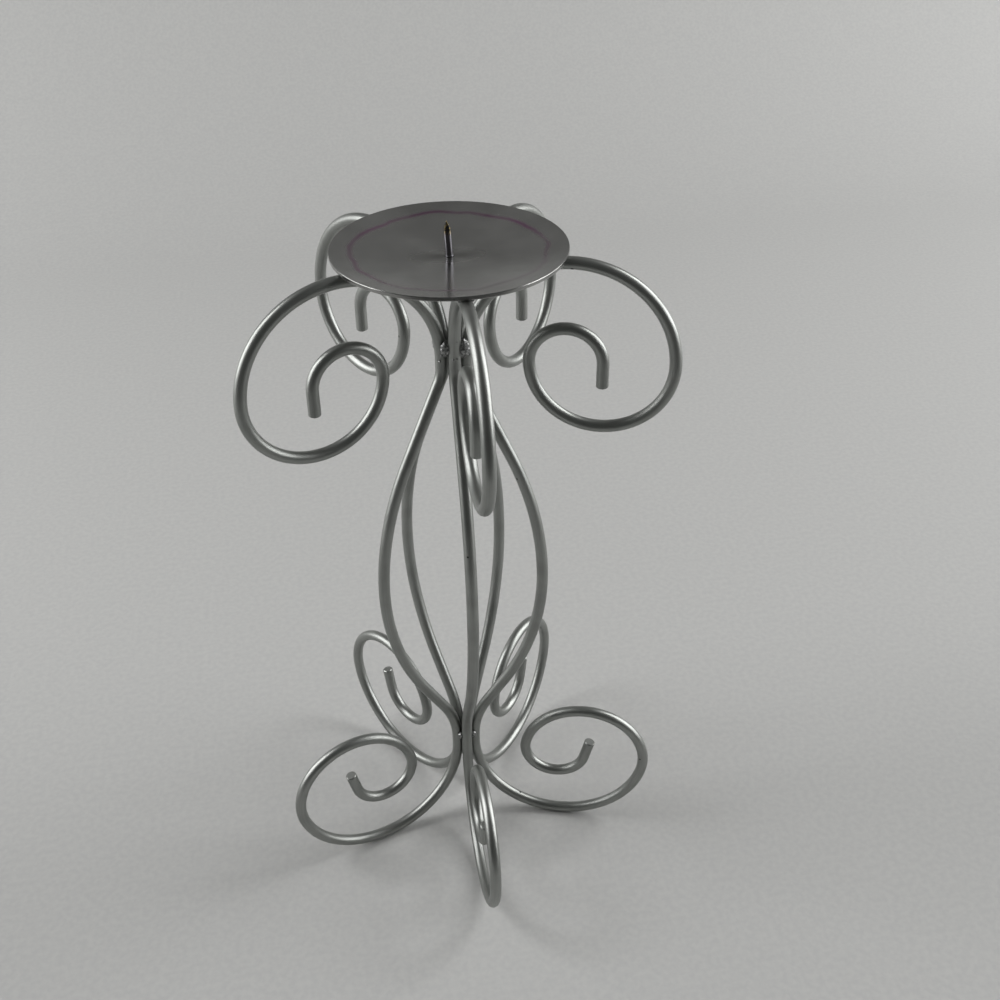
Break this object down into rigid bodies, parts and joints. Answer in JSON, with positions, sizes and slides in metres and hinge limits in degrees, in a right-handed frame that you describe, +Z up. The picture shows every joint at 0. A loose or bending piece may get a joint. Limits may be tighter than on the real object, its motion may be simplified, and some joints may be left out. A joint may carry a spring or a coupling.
{
  "type": "candle stand",
  "caption": "Scrolled steel rods, welded together at the waist and the neck, carry a shallow round drip pan with a central candle spike.",
  "frame": {"origin": "on the stand's axis, on the surface that the feet rest on", "axes": "+Z up along the stand's axis, -Y towards the front rod, +X to the right"},
  "size_m": [0.1703, 0.1652, 0.3098],
  "materials": {
    "rod": "satin drawn rod under a thin clear lacquer",
    "pan": "satin spun sheet with faint circular marks",
    "spike": "bright drawn nail",
    "weld": "as welded, rippled and bright"
  },
  "bodies": {
    "root": {"scroll_rod_front": "rod", "scroll_rod_right": "rod", "scroll_rod_back_right": "rod", "scroll_rod_back_left": "rod", "scroll_rod_left": "rod", "drip_pan": "pan", "candle_spike": "spike", "neck_welds": "weld", "waist_welds": "weld", "pan_welds": "weld", "spike_welds": "weld"}
  },
  "joints": []
}
